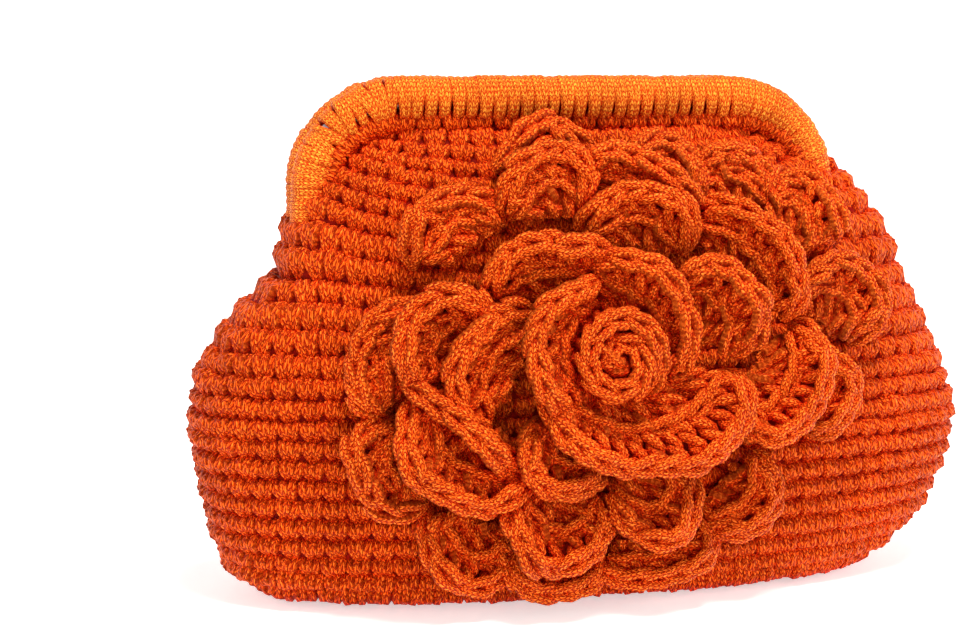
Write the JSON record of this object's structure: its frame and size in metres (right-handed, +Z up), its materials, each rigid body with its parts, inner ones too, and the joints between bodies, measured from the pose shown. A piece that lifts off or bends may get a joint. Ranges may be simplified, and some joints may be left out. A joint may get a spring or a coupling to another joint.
{
  "type": "crocheted frame clutch bag",
  "caption": "Thick cord crochet clutch with a cord-wound hinged frame along its top and a large layered crochet rose on the front panel.",
  "frame": {"origin": "centre of the flat base that the bag stands on", "axes": "+Z up, -Y out of the front panel that carries the rose, +X to the right seen from the front"},
  "size_m": [0.2827, 0.1168, 0.18],
  "materials": {
    "body_cord": "knitted polyester cord, soft sheen",
    "winding_cord": "knitted polyester cord, wound tight, soft sheen",
    "flower_cord": "knitted polyester cord, soft sheen",
    "frame_steel": "satin plated steel tube"
  },
  "bodies": {
    "root": {"bag_shell": "body_cord", "frame_front": "frame_steel", "frame_back": "frame_steel", "hinge_pin_left": "frame_steel", "hinge_pin_right": "frame_steel", "winding_front": "winding_cord", "winding_back": "winding_cord", "petal_round_outer": "flower_cord", "petal_round_middle": "flower_cord", "petal_round_inner": "flower_cord", "rose_heart": "flower_cord"}
  },
  "joints": []
}
